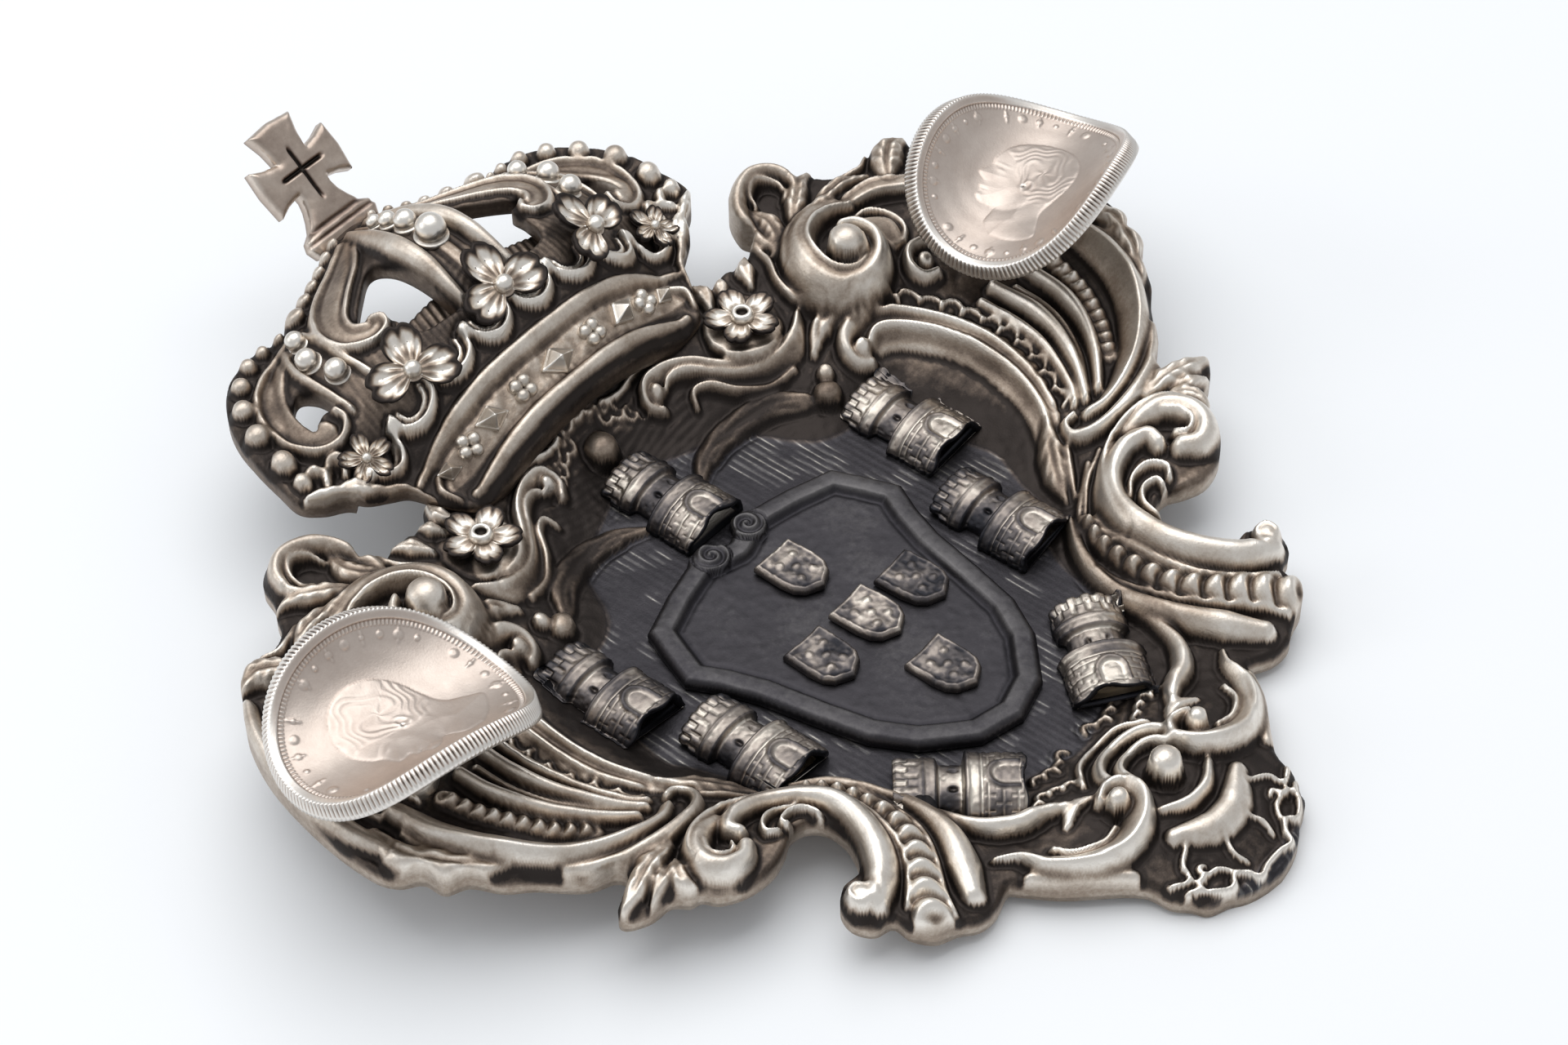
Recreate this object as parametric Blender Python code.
"""Silver heraldic dish: a scrolled cartouche with a crown, castles, shields and two bent coin rests.

The frame has its origin on the flat underside below the shield, +Y towards the cross and +Z up.
Lengths below are in millimetres; every mesh is turned into metres when it is made.
"""
import bmesh
import bpy
import numpy as np
from math import cos, pi, radians, sin, sqrt
from mathutils import Matrix, Vector
from mathutils.geometry import delaunay_2d_cdt

MM = 0.001

# ---- driving dimensions (mm) ----
FIELD_Z = 3.0            # top of the flat field over the underside
BODY_WALL = 3.0          # metal from the ground surface down to the underside
CROWN_WALL = 2.4
SEAT_GAP = 0.3           # solder gap under every applied piece
CROWN_SEAT_GAP = 0.7     # gap between the crown's shell and the body's ground

SHIELD_PLATE = 1.2
SHIELD_BORDER = 3.2
SHIELD_LIP = 0.7
SMALL_SHIELD_WIDTH = 6.6
SMALL_SHIELD_HEIGHT = 8.6
SMALL_SHIELD_THICKNESS = 1.0

TOWER_LENGTH = 15.5
TOWER_RELIEF = 0.72      # how far the half-round castles are flattened
TOWER_SLOPE_GAP = 0.8    # gap where a castle's side runs onto the rising ground
TOWER_ARC_STEPS = 10

COIN_RADIUS = 15.25
COIN_THICKNESS = 2.0
COIN_BEND_RADIUS = 13.9
COIN_SEAT = (58.4, 16.1, 18.6)   # lowest point of the trough, over the field
COIN_YAW = 11.0
COIN_PITCH = 3.8
COIN_ROLL = -3.7
POST_RADIUS = 3.2

CROSS_TILT = 42.4
CROSS_BASE = (-0.3, 83.8, 16.6)
CROSS_THICKNESS = 2.2

# ---- spot heights of the hammered ground over the field: x, y, z; the left half mirrors them ----
GROUND_SPOTS = [
    (0, 0, 0), (0, 14, 0), (0, 28, 0), (0, 35, 0.6), (0, 39, 3), (0, 42, 7.5), (0, 47, 9.5),
    (14, 0, 0), (14, 18, 0), (14, 28, 0.3), (26, 8, 0), (28, 17, 0.3), (22, -12, 0), (12, -28, 0),
    (0, -34, 0), (0, -40, 1.5), (20, -25, 0.2), (27, 0, 0), (33, 12, 1.0), (33, 0, 0.8), (28, -8, 0.3),
    (34, 23.5, 5.0), (41.5, 11, 6.2), (39.3, -1.4, 4.8), (35.3, -6.4, 3.2), (30.5, -11, 1.4),
    (27.5, 21.5, 3.2), (48, 12, 8), (50, 0, 7.6), (45, -5, 6.5), (58, 8, 9.5), (54.5, -4, 8.2),
    (48, -8, 7.6), (41.8, -9, 6.5), (60, 1, 10.2), (69, 10, 11), (68, 20, 11.5), (39, 29, 9.5),
    (58, 16, 10.5), (58, 30, 11.5), (62, 36, 12), (46, 40, 10.5), (44, 48, 11), (36, 40, 9.5),
    (25, 35.5, 8), (25, 42, 8.5), (12, 39, 5.5), (24, 29.5, 4.5), (12, 33, 2.0), (18, 46, 9),
    (36, -18, 6.6), (45, -17, 7.2), (29, -24, 5.6), (30, -32, 5.4), (37, -36, 5.6), (30, -40, 3.8),
    (21, -32, 2.0), (19, -38, 1.8), (26, -43, 2.0), (53, -14, 8), (58, -14, 8.2), (0, -47.5, 4.0),
    (7.5, -46.5, 4.2), (0, -56.5, 2.8), (0, -63.5, 0.6), (8, -60, 1.4), (13, -51, 2.8), (20, -45, 2.2),
    (14, -40, 1.8), (14, -56, 1.6),
]
GROUND_TRIM = 0.5        # taken off the ground so that the field stays flat
GROUND_MAX = 12.5

CROWN_SPOTS = [
    (0, 39, 12.2), (0, 42.5, 13.4), (0, 45, 14.2), (0, 48.5, 17), (0, 54.4, 20.6), (0, 60, 23), (0, 66, 24),
    (0, 72, 22), (0, 78, 18.2), (0, 82, 15.6), (12, 44.1, 13.2), (21, 42, 9.6), (24, 45.8, 9),
    (19.5, 41.4, 8.9), (16.3, 54, 19), (25.5, 53, 13.4), (15.3, 64, 20.6), (26.5, 58.4, 16.6),
    (20.8, 70, 17.4), (22.5, 65.3, 18), (21.8, 61, 18.4), (26, 72.5, 12.4), (10, 77.3, 15.4),
    (35.5, 61, 12.2), (36.5, 58.4, 11.8), (36, 54, 9.6), (30, 66.5, 13), (12, 48, 15.8), (30, 48, 8.6),
]

# ---- outlines, right half from top to bottom: x, y ----
BODY_EDGE = [
    (12, 47), (22, 45.5), (27.5, 42.8), (33, 42), (37.5, 44.2), (38.6, 47.6), (40.6, 50.4), (43.8, 51.6),
    (47, 50.6), (49.4, 47.6), (51.6, 44.2), (55, 42.4), (59.5, 41.4), (63, 39), (66, 34), (69, 27),
    (70.6, 18), (70.6, 9), (68, 3), (64, -2), (59, -7), (55, -9.8), (54.6, -12), (56.7, -14.2),
    (53, -16.6), (50, -17.8), (48.8, -21), (46.6, -23.2), (43, -24.2), (38.5, -23.6), (35.2, -22.8),
    (32.8, -25), (32.4, -28.5), (33.8, -31.8), (36.4, -33.6), (38.8, -34.8), (39.4, -37.2), (37.2, -40),
    (35.2, -41.6), (33.4, -43.6), (30, -45.2), (26, -46), (22, -45.4), (20, -46.8), (17, -50),
    (12.5, -54.6), (8, -59.4), (4, -63.4),
]
BODY_TIP = (0, -65.2)
BODY_HEAD = (0, 47)

CROWN_EDGE = [
    (5.5, 80.6), (10, 78.6), (15, 75.8), (18, 73.6), (21, 74.8), (25, 74.6), (29, 72.4), (33, 68.2),
    (35.6, 63), (36.2, 58), (36.4, 54.2), (33, 51.4), (29, 48), (26, 46), (24.4, 43.6), (22, 40.8),
    (19.5, 39.6), (10, 40.2),
]
CROWN_TOP = (0, 81.8)
CROWN_FOOT = (0, 40.4)
INNER_ARCH_OPENING = [(5.6, 57.5), (5.8, 63), (6.2, 68), (7.4, 70), (11.6, 67), (14.4, 64.6), (13.2, 60.6),
                      (11, 57.6)]
OUTER_ARCH_OPENING = [(24.6, 58.2), (24.8, 62), (25.8, 64.8), (27.6, 63.4), (28.6, 60.4), (27.4, 58.4)]

# ---- mouldings: half width, rise over the ground, right half path ----
BODY_MOULDINGS = [
    (2.2, 2.2, [(32, 23), (35, 23.4), (38.6, 20.6), (41, 15.6), (42, 9.5), (41.4, 3.6), (39, -1.6),
                (35, -6), (30.5, -11)]),
    (2.4, 3.0, [(62, 10), (61, 3.4), (57.6, -2), (53.4, -6), (48.4, -8.4), (43.4, -9), (39.6, -7.6)]),
    (3.0, 3.4, [(44, 38.4), (38.6, 37.4), (35, 34), (34, 29.6), (36, 26), (39.4, 25)]),
    (2.2, 2.2, [(12, 37.6), (16.4, 37), (19.4, 33.6), (23.6, 30.2), (29, 30)]),
    (2.2, 3.4, [(45.4, -21), (48, -18.4), (47, -14.6), (43, -12.6), (38.6, -13), (33.4, -15.6), (29.6, -20),
                (27.4, -25.6), (28.2, -30.6), (31, -35.6), (35.4, -38)]),
    (1.8, 2.2, [(26, -17.4), (22.6, -22.6), (20.8, -28.4), (21.2, -34), (23.4, -39), (26.6, -43.4)]),
    (2.0, 2.6, [(19, -43.6), (17.4, -47.4), (13.4, -50.6), (8.6, -50), (6, -47.4)]),
]
CROWN_MOULDINGS = [
    (1.3, 1.2, [(0.0, 48.2), (12, 47.9), (24, 46.6)]),
    (1.3, 1.2, [(0.0, 41.9), (10, 41.7), (19, 41.2)]),
    (1.9, 1.4, [(3, 77.4), (9, 74), (14.4, 71), (17.8, 67.4), (18, 63.4), (15.6, 61)]),
    (1.7, 1.2, [(20.6, 71.6), (26, 70), (29.6, 66), (30.4, 61.4), (28.6, 57.2), (26, 56.8)]),
    (1.6, 1.4, [(4.4, 59), (4.6, 66), (3.4, 73), (1.6, 79)]),
]

SHIELD_EDGE = [(0, 16.6), (2.6, 18.8), (5.6, 18.2), (11.5, 16.8), (18.1, 15.2), (21.8, 5.4), (19, 0),
               (17.6, -7), (14.6, -15), (10, -21.4), (4.4, -26), (0, -28)]
SMALL_SHIELD_PLACES = {
    "top": (0.4, 7.3), "centre": (0.2, -4.2), "left": (-8.7, -4.4), "right": (8.2, -4.6), "bottom": (-0.4, -16.4),
}
TOWER_PLACES = {
    "top": (0, 27.2, 0), "upper_left": (-29.4, 12.2, 0), "upper_right": (29.4, 12.2, 0),
    "middle_left": (-24.2, -7.6, 0), "middle_right": (24.2, -7.6, 0),
    "lower_left": (-13.6, -30, 39), "lower_right": (13.6, -30, -39),
}
FLORET_PLACES = {
    "centre": (0, 54.4, 6.2), "left": (-16.2, 54.1, 5.8), "right": (16.2, 54.1, 5.8),
    "outer_left": (-26.6, 52.6, 3.4), "outer_right": (26.6, 52.6, 3.4),
}
ROSETTE_PLACES = {"left": (-24.9, 35.7), "right": (24.9, 35.7)}
ROSETTE_RADIUS = 4.9
EYELET_RADIUS = 1.3
DIAMOND_PLACES = [(0, 2.7), (-12.2, 2.4), (12.2, 2.4), (-20.2, 1.7), (20.2, 1.7)]
CLUSTER_PLACES = [-16.4, -6.5, 6.5, 16.4]
CLUSTER_RADIUS = 1.9
BAND_MIDDLE = 45.0
ARCH_PEARLS = [(0, 65.2, 2.0), (0, 69.4, 1.5), (0, 72.6, 1.2), (0, 75.2, 1.0), (20.2, 69.6, 1.3),
               (22, 65.8, 1.5), (21.4, 61.6, 1.5), (-20.2, 69.6, 1.3), (-22, 65.8, 1.5), (-21.4, 61.6, 1.5)]

SILVER = {"oxidised": (0.30, 0.26, 0.23), "polished": (0.72, 0.67, 0.62), "field": (0.05, 0.05, 0.06),
          "coin": (0.62, 0.55, 0.50)}
ROUGHNESS = {"oxidised": 0.42, "polished": 0.28, "field": 0.5, "coin": 0.4}


# ---- geometry helpers ----
def clear_scene():
    for scene_object in list(bpy.data.objects):
        bpy.data.objects.remove(scene_object, do_unlink=True)


def silver(finish):
    """Principled silver in one of the four finishes."""
    material = bpy.data.materials.get(finish) or bpy.data.materials.new(finish)
    material.use_nodes = True
    shader = material.node_tree.nodes["Principled BSDF"]
    shader.inputs["Base Color"].default_value = (*SILVER[finish], 1.0)
    shader.inputs["Roughness"].default_value = ROUGHNESS[finish]
    shader.inputs["Metallic"].default_value = 1.0
    return material


def piece_from_bmesh(name, solid, finish, smooth_angle=35.0):
    """Turn a bmesh in millimetres into a shaded object in metres."""
    bmesh.ops.scale(solid, vec=(MM, MM, MM), verts=solid.verts)
    bmesh.ops.recalc_face_normals(solid, faces=solid.faces)
    mesh = bpy.data.meshes.new(name)
    solid.to_mesh(mesh)
    solid.free()
    mesh.materials.append(silver(finish))
    mesh.shade_smooth()
    mesh.set_sharp_from_angle(angle=radians(smooth_angle))
    piece = bpy.data.objects.new(name, mesh)
    bpy.context.scene.collection.objects.link(piece)
    return piece


def place(piece, location, rotation=(0.0, 0.0, 0.0)):
    piece.location = Vector(location) * MM
    piece.rotation_euler = [radians(angle) for angle in rotation]
    return piece


def fit_plate(spots, softness):
    """Thin-plate surface through mirrored spot heights; returns a function of x and y."""
    points = np.array([(x, y) for x, y, _ in spots] + [(-x, y) for x, y, _ in spots if x > 0], float)
    heights = np.array([z for _, _, z in spots] + [z for x, _, z in spots if x > 0], float)
    gaps = np.linalg.norm(points[:, None] - points[None], axis=2)
    bending = np.where(gaps > 0, gaps ** 2 * np.log(np.maximum(gaps, 1e-9)), 0.0)
    count = len(points)
    plane = np.c_[np.ones(count), points]
    system = np.block([[bending + softness * np.eye(count), plane], [plane.T, np.zeros((3, 3))]])
    weights = np.linalg.solve(system, np.r_[heights, 0, 0, 0])

    def surface(x, y):
        squared = np.maximum((points[:, 0] - x) ** 2 + (points[:, 1] - y) ** 2, 1e-12)
        bend = 0.5 * squared * np.log(squared) @ weights[:count]
        return float(weights[count] + weights[count + 1] * x + weights[count + 2] * y + bend)

    return surface


def smooth_path(points, step):
    """Catmull-Rom curve through a few points, resampled at an even step."""
    knots = np.array(points, float)
    knots = np.vstack([2 * knots[0] - knots[1], knots, 2 * knots[-1] - knots[-2]])
    dense = []
    for before, start, end, after in zip(knots, knots[1:], knots[2:], knots[3:]):
        for t in np.linspace(0, 1, 12, endpoint=False):
            dense.append(0.5 * (2 * start + (end - before) * t + (2 * before - 5 * start + 4 * end - after) * t ** 2
                                + (3 * start - before - 3 * end + after) * t ** 3))
    dense = np.array(dense + [knots[-2]])
    along = np.r_[0, np.cumsum(np.linalg.norm(np.diff(dense, axis=0), axis=1))]
    stations = np.linspace(0, along[-1], max(2, round(along[-1] / step) + 1))
    return np.c_[np.interp(stations, along, dense[:, 0]), np.interp(stations, along, dense[:, 1])]


def mirrored(path):
    return np.array(path) * (-1, 1)


def whole_outline(head, half, tip, step):
    """Close a mirrored outline from its right half, counter-clockwise."""
    right = smooth_path([head] + list(half) + [tip], step)
    left = mirrored(right[1:-1])
    return np.vstack([right[::-1], left])


def inside(point, loop):
    """Even-odd test of one point against a closed loop."""
    x, y = point
    x0, y0 = loop[:, 0], loop[:, 1]
    x1, y1 = np.roll(x0, -1), np.roll(y0, -1)
    crossing = (y0 > y) != (y1 > y)
    with np.errstate(divide="ignore", invalid="ignore"):
        at = x0 + (y - y0) * (x1 - x0) / (y1 - y0)
    return bool(np.count_nonzero(crossing & (x < at)) % 2)


def distance_to(point, path, closed=False):
    starts = path if closed else path[:-1]
    ends = np.roll(path, -1, axis=0) if closed else path[1:]
    spans = ends - starts
    t = np.clip(((point - starts) * spans).sum(1) / np.maximum((spans ** 2).sum(1), 1e-12), 0, 1)
    return float(np.min(np.linalg.norm(starts + spans * t[:, None] - point, axis=1)))


def offset_path(path, distance):
    """The same path moved sideways."""
    tangent = np.gradient(path, axis=0)
    tangent /= np.linalg.norm(tangent, axis=1)[:, None]
    return path + np.c_[-tangent[:, 1], tangent[:, 0]] * distance


def triangulate(loops, lines, spacing):
    """Triangles inside the outer loop and outside the others, following the given lines."""
    points, edges = [], []
    for loop in loops:
        first = len(points)
        points.extend(map(tuple, loop))
        edges.extend((first + i, first + (i + 1) % len(loop)) for i in range(len(loop)))

    def free(point, margin):
        if not inside(point, loops[0]) or any(inside(point, hole) for hole in loops[1:]):
            return False
        return all(distance_to(point, loop, closed=True) > margin for loop in loops)

    line_points = []
    for line in lines:
        previous = None
        for point in line:
            crowded = any((point[0] - q[0]) ** 2 + (point[1] - q[1]) ** 2 < 0.6 for q in line_points)
            if crowded or not free(point, 0.8):
                previous = None
                continue
            line_points.append(tuple(point))
            points.append(tuple(point))
            if previous is not None:
                edges.append((previous, len(points) - 1))
            previous = len(points) - 1
    taken = np.array(line_points) if line_points else np.zeros((0, 2))
    low, high = loops[0].min(0), loops[0].max(0)
    rows = int((high[1] - low[1]) / (spacing * 0.87)) + 1
    half_columns = int(high[0] / spacing) + 2
    for row in range(rows):
        y = low[1] + row * spacing * 0.87
        for column in range(-half_columns, half_columns + 1):
            point = np.array([(column + 0.5 * (row % 2)) * spacing, y])
            if not free(point, 0.55 * spacing):
                continue
            if len(taken) and np.min(np.linalg.norm(taken - point, axis=1)) < 0.6 * spacing:
                continue
            points.append(tuple(point))
    flat, _, faces, sources, _, _ = delaunay_2d_cdt([Vector(p) for p in points], edges, [], 0, 1e-5)
    rim_count = sum(len(loop) for loop in loops)
    rim = {given: made for made, givens in enumerate(sources) for given in givens if given < rim_count}
    kept = []
    for face in faces:
        middle = np.mean([flat[i] for i in face], axis=0)
        if inside(middle, loops[0]) and not any(inside(middle, hole) for hole in loops[1:]):
            kept.append(face)
    return flat, kept, rim


def relief_solid(name, loops, lines, top, bottom, spacing, under_spacing, finish):
    """A closed shell between a top and a bottom height function, with upright walls on its loops."""
    solid = bmesh.new()
    rims = []
    for height, ridge_lines, grid, flip in ((top, lines, spacing, False), (bottom, [], under_spacing, True)):
        flat, faces, rim = triangulate(loops, ridge_lines, grid)
        corners = [solid.verts.new((p.x, p.y, height(p.x, p.y))) for p in flat]
        used = set()
        for face in faces:
            loop = [corners[i] for i in face]
            solid.faces.new(loop[::-1] if flip else loop)
            used.update(face)
        rims.append({given: corners[made] for given, made in rim.items()})
        for i, corner in enumerate(corners):
            if i not in used:
                solid.verts.remove(corner)
    upper, lower = rims
    first = 0
    for loop in loops:
        keys = list(range(first, first + len(loop)))
        first += len(loop)
        for here, there in zip(keys, keys[1:] + keys[:1]):
            solid.faces.new([lower[here], lower[there], upper[there], upper[here]])
    return piece_from_bmesh(name, solid, finish)


def with_mouldings(ground, mouldings):
    """Ground height raised by round mouldings; also returns the crest and foot lines to follow."""
    paths = []
    for half_width, rise, points in mouldings:
        path = smooth_path(points, 2.6)
        for side in (path, mirrored(path)):
            paths.append((half_width, rise, side))

    def surface(x, y):
        lift = 0.0
        for half_width, rise, path in paths:
            if np.min(np.abs(path - (x, y)).max(1)) > half_width + 2.6:
                continue
            off = distance_to(np.array([x, y]), path) / half_width
            if off < 1:
                lift = max(lift, rise * sqrt(1 - off * off))
        return ground(x, y) + lift

    lines = [path for _, _, path in paths]
    for half_width, _, path in paths:
        lines += [offset_path(path, half_width * 1.02), offset_path(path, -half_width * 1.02)]
    return surface, lines


def seat_height(surface, x, y, reach):
    """Highest surface point under a round footprint, plus the solder gap."""
    rings = [(x + r * cos(a), y + r * sin(a)) for r in (0, reach / 2, reach)
             for a in np.linspace(0, 2 * pi, 12, endpoint=False)]
    return max(surface(px, py) for px, py in rings) + SEAT_GAP


def extrude_outline(loop, bottom, top, bevel=0.0):
    """Prism on a closed outline, its upper edge broken by a bevel."""
    solid = bmesh.new()
    base = solid.faces.new([solid.verts.new((x, y, bottom)) for x, y in loop])
    grown = bmesh.ops.extrude_face_region(solid, geom=[base])
    lid = [item for item in grown["geom"] if isinstance(item, bmesh.types.BMVert)]
    bmesh.ops.translate(solid, vec=(0, 0, top - bottom), verts=lid)
    bmesh.ops.recalc_face_normals(solid, faces=solid.faces)
    if bevel:
        rim = [edge for edge in solid.edges if all(abs(v.co.z - top) < 1e-6 for v in edge.verts)]
        bmesh.ops.bevel(solid, geom=rim, offset=bevel, segments=1, affect="EDGES")
    return solid


# ---- surfaces ----
ground_plate = fit_plate(GROUND_SPOTS, 2.0)
crown_plate = fit_plate(CROWN_SPOTS, 4.0)


def ground_height(x, y):
    """Top of the plain ground over the underside."""
    return FIELD_Z + min(max(ground_plate(x, y) - GROUND_TRIM, 0.0), GROUND_MAX)


def body_under(x, y):
    return max(ground_height(x, y) - BODY_WALL, 0.0)


def crown_shell(x, y):
    """Plain top of the crown's shell, kept above the body's ground."""
    return max(FIELD_Z + crown_plate(x, y), ground_height(x, y) + CROWN_SEAT_GAP + 1.4)


def crown_under(x, y):
    shell = crown_shell(x, y) - CROWN_WALL
    if y > 50:
        return shell
    return max(shell, ground_height(x, y) + CROWN_SEAT_GAP)


body_top, body_lines = with_mouldings(ground_height, BODY_MOULDINGS)
crown_top, crown_lines = with_mouldings(crown_shell, CROWN_MOULDINGS)


# ---- pieces ----
def make_body():
    loop = whole_outline(BODY_HEAD, BODY_EDGE, BODY_TIP, 2.6)
    return relief_solid("body", [loop], body_lines, body_top, body_under, 3.6, 7.0, "oxidised")


def make_crown():
    loops = [whole_outline(CROWN_TOP, CROWN_EDGE, CROWN_FOOT, 2.2)]
    for opening in (INNER_ARCH_OPENING, OUTER_ARCH_OPENING):
        closed = smooth_path(opening + opening[:1], 1.8)[:-1]
        loops += [closed, mirrored(closed)]
    return relief_solid("crown", loops, crown_lines, crown_top, crown_under, 2.8, 4.0, "oxidised")


def make_crown_cap():
    """Ribbed lining that shows through the arches, hung below the shell."""
    drop = CROWN_WALL + 1.1
    loop = whole_outline((0, 61.6), [(10, 61.4), (20, 59.6), (25, 56.6), (24, 53.4), (14, 53), (6, 53.2)],
                         (0, 53.4), 2.4)

    def top(x, y):
        return crown_shell(x, y) - drop

    def bottom(x, y):
        return top(x, y) - 1.4

    return relief_solid("crown_cap", [loop], [], top, bottom, 3.0, 4.0, "oxidised")


def make_inner_shield():
    """Plate with a raised border, in the shape of a scroll-topped shield."""
    right = np.array(SHIELD_EDGE, float)
    loop = np.vstack([right[::-1], mirrored(right[1:-1])])
    low = FIELD_Z + SEAT_GAP
    solid = extrude_outline([tuple(p) for p in loop], low, low + SHIELD_PLATE + SHIELD_LIP, 0.35)
    solid.faces.ensure_lookup_table()
    lid = max(solid.faces, key=lambda face: face.calc_center_median().z)
    bmesh.ops.inset_region(solid, faces=[lid], thickness=SHIELD_BORDER, depth=0.0)
    bmesh.ops.inset_region(solid, faces=[lid], thickness=0.5, depth=-SHIELD_LIP)
    return piece_from_bmesh("inner_shield", solid, "field")


def make_small_shield(name, x, y):
    """Flat-topped escutcheon with a pointed foot."""
    half = SMALL_SHIELD_WIDTH / 2
    tall = SMALL_SHIELD_HEIGHT / 2
    loop = [(-half, tall), (-half, -tall * 0.42), (-half * 0.72, -tall * 0.72), (0, -tall),
            (half * 0.72, -tall * 0.72), (half, -tall * 0.42), (half, tall)]
    low = FIELD_Z + SEAT_GAP + SHIELD_PLATE + SEAT_GAP
    solid = extrude_outline(loop, low, low + SMALL_SHIELD_THICKNESS, 0.3)
    return place(piece_from_bmesh("small_shield_" + name, solid, "oxidised"), (x, y, 0))


def make_tower(name, x, y, lean):
    """Half-round castle: wide lower drum, narrow neck and a wider battlemented head."""
    half = TOWER_LENGTH / 2
    profile = [(-half, 5.2), (-half + 0.8, 5.5), (-half + 6.4, 5.4), (-half + 7.0, 5.0), (-half + 7.2, 3.7),
               (-half + 10.2, 3.5), (-half + 10.6, 4.4), (-half + 11.4, 4.6), (half - 0.4, 4.6), (half, 4.2)]
    turn = Matrix.Rotation(radians(lean), 2)
    solid = bmesh.new()
    rings = []
    for along, radius in profile:
        ring = []
        for k in range(TOWER_ARC_STEPS + 1):
            angle = pi * k / TOWER_ARC_STEPS
            spot = Vector((x, y)) + turn @ Vector((radius * cos(angle), along))
            height = radius * TOWER_RELIEF * sin(angle)
            rise = FIELD_Z + SEAT_GAP + height
            over_slope = body_top(spot.x, spot.y) + TOWER_SLOPE_GAP + 0.1 * height
            ring.append(solid.verts.new((spot.x, spot.y, max(rise, over_slope))))
        rings.append(ring)
    for ring, following in zip(rings, rings[1:]):
        for k in range(TOWER_ARC_STEPS):
            solid.faces.new([ring[k], ring[k + 1], following[k + 1], following[k]])
        solid.faces.new([ring[TOWER_ARC_STEPS], ring[0], following[0], following[TOWER_ARC_STEPS]])
    solid.faces.new(rings[0])
    solid.faces.new(rings[-1][::-1])
    return piece_from_bmesh("tower_" + name, solid, "oxidised")


def petal_disc(petals, outer, inner, thickness, dish):
    """Solid flower: lobed outline with a dished middle."""
    steps = petals * 6
    solid = bmesh.new()
    angles = [2 * pi * k / steps for k in range(steps)]
    rim = [inner + (outer - inner) * abs(cos(petals * a / 2)) ** 0.6 for a in angles]
    rings = []
    for height, share in ((0.0, 1.0), (thickness, 1.0), (thickness - dish, 0.45)):
        rings.append([solid.verts.new((r * share * sin(a), r * share * cos(a), height))
                      for a, r in zip(angles, rim)])
    for ring, following in zip(rings, rings[1:]):
        for k in range(steps):
            n = (k + 1) % steps
            solid.faces.new([ring[k], ring[n], following[n], following[k]])
    solid.faces.new(rings[0][::-1])
    solid.faces.new(rings[-1])
    return solid


def surface_tilt(surface, x, y):
    """Rotation that lays a piece's +Z along the surface's normal."""
    reach = 1.5
    slope_x = (surface(x + reach, y) - surface(x - reach, y)) / (2 * reach)
    slope_y = (surface(x, y + reach) - surface(x, y - reach)) / (2 * reach)
    normal = Vector((-slope_x, -slope_y, 1)).normalized()
    return normal, normal.to_track_quat("Z", "Y").to_matrix().to_4x4()


def lay_on(piece, surface, x, y, reach, lift=0.0):
    """Set a piece on a sloping surface, clear of it over its whole footprint."""
    normal, turn = surface_tilt(surface, x, y)
    base = Vector((x, y, surface(x, y)))
    clearance = 0.0
    for r in (0.4 * reach, 0.75 * reach, reach):
        for a in np.linspace(0, 2 * pi, 16, endpoint=False):
            point = Vector((x + r * cos(a), y + r * sin(a), 0))
            point.z = surface(point.x, point.y)
            clearance = max(clearance, (point - base).dot(normal))
    base += normal * (clearance + SEAT_GAP + lift)
    piece.matrix_world = Matrix.Translation(base * MM) @ turn
    return clearance + SEAT_GAP


def ball(name, centre, radius, segments=10):
    """Round bead or pin head."""
    solid = bmesh.new()
    bmesh.ops.create_uvsphere(solid, u_segments=segments, v_segments=segments // 2 + 1, radius=radius)
    return place(piece_from_bmesh(name, solid, "polished", 80.0), centre)


def make_floret(name, x, y, radius):
    """Crown flower, and its round-headed pin standing just clear of the petals."""
    petals = 3 if radius > 4 else 5
    flower = piece_from_bmesh("floret_" + name, petal_disc(petals, radius, radius * 0.45, 1.3, 0.5), "polished")
    seat = lay_on(flower, crown_top, x, y, radius * 0.9)
    normal, _ = surface_tilt(crown_top, x, y)
    head = radius * 0.2
    centre = Vector((x, y, crown_top(x, y))) + normal * (seat + 0.8 + SEAT_GAP + head)
    ball("floret_pin_" + name, centre, head)


def make_rosette(name, x, y):
    """Five-petalled flower with a short tube over its middle."""
    flower = piece_from_bmesh("rosette_" + name, petal_disc(5, ROSETTE_RADIUS, 2.6, 1.3, 0.5), "polished")
    seat = lay_on(flower, body_top, x, y, ROSETTE_RADIUS)
    normal, turn = surface_tilt(body_top, x, y)
    steps = 14
    tube = bmesh.new()
    rings = []
    for radius, height in ((EYELET_RADIUS, 0), (EYELET_RADIUS, 1.3), (0.75, 1.3), (0.75, 0)):
        rings.append([tube.verts.new((radius * cos(2 * pi * k / steps), radius * sin(2 * pi * k / steps), height))
                      for k in range(steps)])
    for ring, following in zip(rings, rings[1:] + rings[:1]):
        for k in range(steps):
            n = (k + 1) % steps
            tube.faces.new([ring[k], ring[n], following[n], following[k]])
    eyelet = piece_from_bmesh("rosette_eyelet_" + name, tube, "polished")
    centre = Vector((x, y, body_top(x, y))) + normal * (seat + 0.8 + SEAT_GAP)
    eyelet.matrix_world = Matrix.Translation(centre * MM) @ turn


def coin_frame(side):
    """Turns the coin's own frame, trough along x and lowest at its origin, into the dish's."""
    x, y, z = COIN_SEAT
    turn = (Matrix.Rotation(radians(COIN_YAW), 4, "Z") @ Matrix.Rotation(radians(-COIN_PITCH), 4, "Y")
            @ Matrix.Rotation(radians(COIN_ROLL), 4, "X"))
    seat = Matrix.Translation((x, y, z + FIELD_Z)) @ turn
    flip = Matrix.Diagonal((side, 1, 1, 1))
    return flip @ seat


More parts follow.
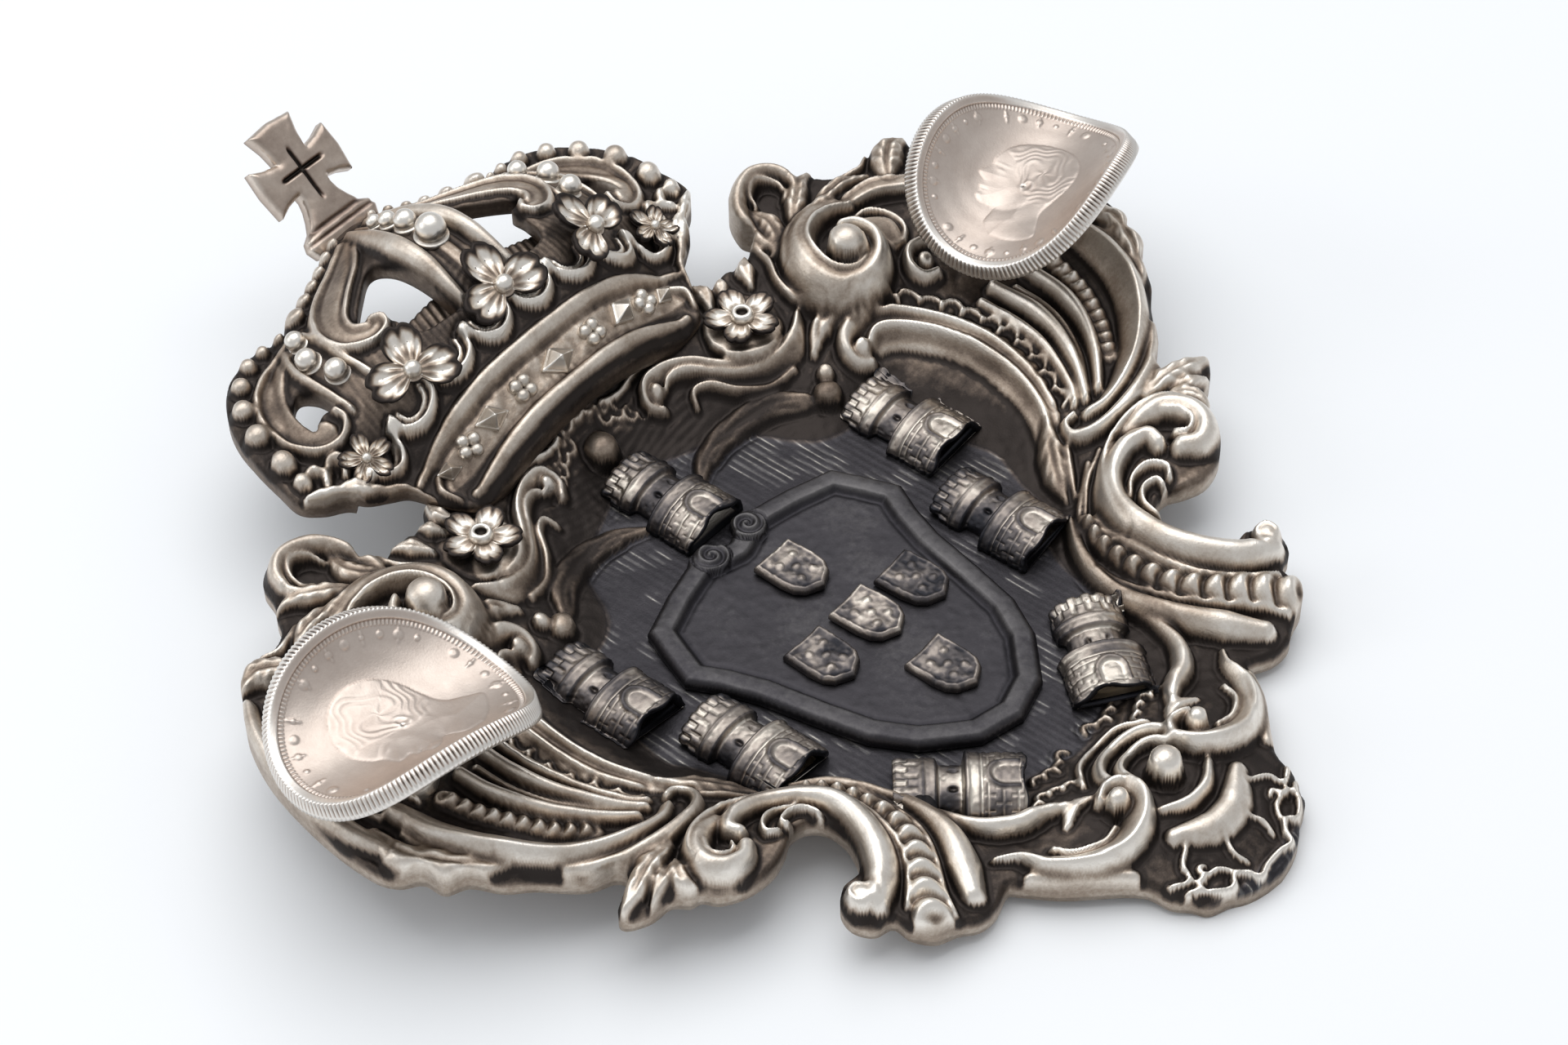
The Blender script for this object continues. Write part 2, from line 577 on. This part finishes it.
def bend(x, y, depth):
    """A flat disc's point rolled round the trough's axis."""
    angle = y / COIN_BEND_RADIUS
    radius = COIN_BEND_RADIUS + depth
    return Vector((x, radius * sin(angle), COIN_BEND_RADIUS - radius * cos(angle)))


def make_coin(name, side):
    """Round coin rolled into a trough; its face is on the inside of the bend."""
    frame = coin_frame(side)
    steps = 40
    rings = [(0.42, 0.0), (0.86, 0.0), (0.90, -0.25), (0.985, -0.25), (1.0, -0.05),
             (1.0, COIN_THICKNESS - 0.2), (0.985, COIN_THICKNESS), (0.42, COIN_THICKNESS)]
    solid = bmesh.new()

    def ring_at(share, depth):
        return [solid.verts.new(frame @ bend(COIN_RADIUS * share * cos(2 * pi * k / steps),
                                             COIN_RADIUS * share * sin(2 * pi * k / steps), depth))
                for k in range(steps)]

    loops = [ring_at(share, depth) for share, depth in rings]
    for ring, following in zip(loops, loops[1:]):
        for k in range(steps):
            n = (k + 1) % steps
            solid.faces.new([ring[k], ring[n], following[n], following[k]])
    for ring, depth in ((loops[0], 0.0), (loops[-1], COIN_THICKNESS)):
        middle = solid.verts.new(frame @ bend(0, 0, depth))
        for k in range(steps):
            solid.faces.new([middle, ring[k], ring[(k + 1) % steps]])
    return piece_from_bmesh("coin_" + name, solid, "coin")


def make_coin_post(name, side):
    """Short solder pillar between the body's shoulder and the coin's back."""
    x, y, z = COIN_SEAT
    low = seat_height(body_top, side * x, y, POST_RADIUS)
    high = z + FIELD_Z - COIN_THICKNESS - SEAT_GAP - 0.45
    solid = bmesh.new()
    bmesh.ops.create_cone(solid, cap_ends=True, segments=20, radius1=POST_RADIUS, radius2=POST_RADIUS * 0.8,
                          depth=high - low, matrix=Matrix.Translation((side * x, y, (low + high) / 2)))
    return piece_from_bmesh("coin_post_" + name, solid, "oxidised")


def make_stone(number, x, half):
    """Pyramid-cut stone on the circlet."""
    low = seat_height(crown_top, x, BAND_MIDDLE, half * 0.9)
    stone = bmesh.new()
    foot = [stone.verts.new(corner) for corner in
            ((-half, 0, 0), (0, -half * 0.75, 0), (half, 0, 0), (0, half * 0.75, 0))]
    tip = stone.verts.new((0, 0, half * 0.5))
    stone.faces.new(foot[::-1])
    for k in range(4):
        stone.faces.new([foot[k], foot[(k + 1) % 4], tip])
    place(piece_from_bmesh(f"circlet_stone_{number}", stone, "polished"), (x, BAND_MIDDLE, low))


def make_cluster(number, x):
    """Four small beads fused round a middle."""
    low = seat_height(crown_top, x, BAND_MIDDLE, CLUSTER_RADIUS)
    cluster = petal_disc(4, CLUSTER_RADIUS, 0.9, 1.2, 0.0)
    place(piece_from_bmesh(f"circlet_cluster_{number}", cluster, "polished"), (x, BAND_MIDDLE, low))


def make_arch_pearl(number, x, y, radius):
    seat = seat_height(crown_top, x, y, radius * 0.7)
    ball(f"arch_pearl_{number}", (x, y, seat + radius), radius, 12)


def make_cross():
    """Flared cross on a waisted foot, leaning back from the crown's top."""
    half = [(5.8, -1.0), (5.7, 0.1), (4.4, 1.0), (3.6, 2.6), (3.0, 4.2), (2.8, 5.4), (3.1, 6.6), (6.6, 5.1),
            (6.8, 13.3), (2.6, 11.7), (3.6, 17.6)]
    loop = half + [(-x, y) for x, y in reversed(half)]
    solid = extrude_outline(loop, -CROSS_THICKNESS / 2, CROSS_THICKNESS / 2, 0.35)
    piece = piece_from_bmesh("cross_finial", solid, "polished")
    x, y, z = CROSS_BASE
    return place(piece, (x, y, z + FIELD_Z), (CROSS_TILT, 0, 0))


clear_scene()
make_body()
make_crown()
make_crown_cap()
make_cross()
make_inner_shield()
for shield_name, (shield_x, shield_y) in SMALL_SHIELD_PLACES.items():
    make_small_shield(shield_name, shield_x, shield_y)
for tower_name, (tower_x, tower_y, tower_lean) in TOWER_PLACES.items():
    make_tower(tower_name, tower_x, tower_y, tower_lean)
for floret_name, (floret_x, floret_y, floret_radius) in FLORET_PLACES.items():
    make_floret(floret_name, floret_x, floret_y, floret_radius)
for rosette_name, (rosette_x, rosette_y) in ROSETTE_PLACES.items():
    make_rosette(rosette_name, rosette_x, rosette_y)
for coin_name, coin_side in (("left", -1), ("right", 1)):
    make_coin(coin_name, coin_side)
    make_coin_post(coin_name, coin_side)
for stone_number, (stone_x, stone_half) in enumerate(DIAMOND_PLACES, 1):
    make_stone(stone_number, stone_x, stone_half)
for cluster_number, cluster_x in enumerate(CLUSTER_PLACES, 1):
    make_cluster(cluster_number, cluster_x)
for pearl_number, (pearl_x, pearl_y, pearl_radius) in enumerate(ARCH_PEARLS, 1):
    make_arch_pearl(pearl_number, pearl_x, pearl_y, pearl_radius)
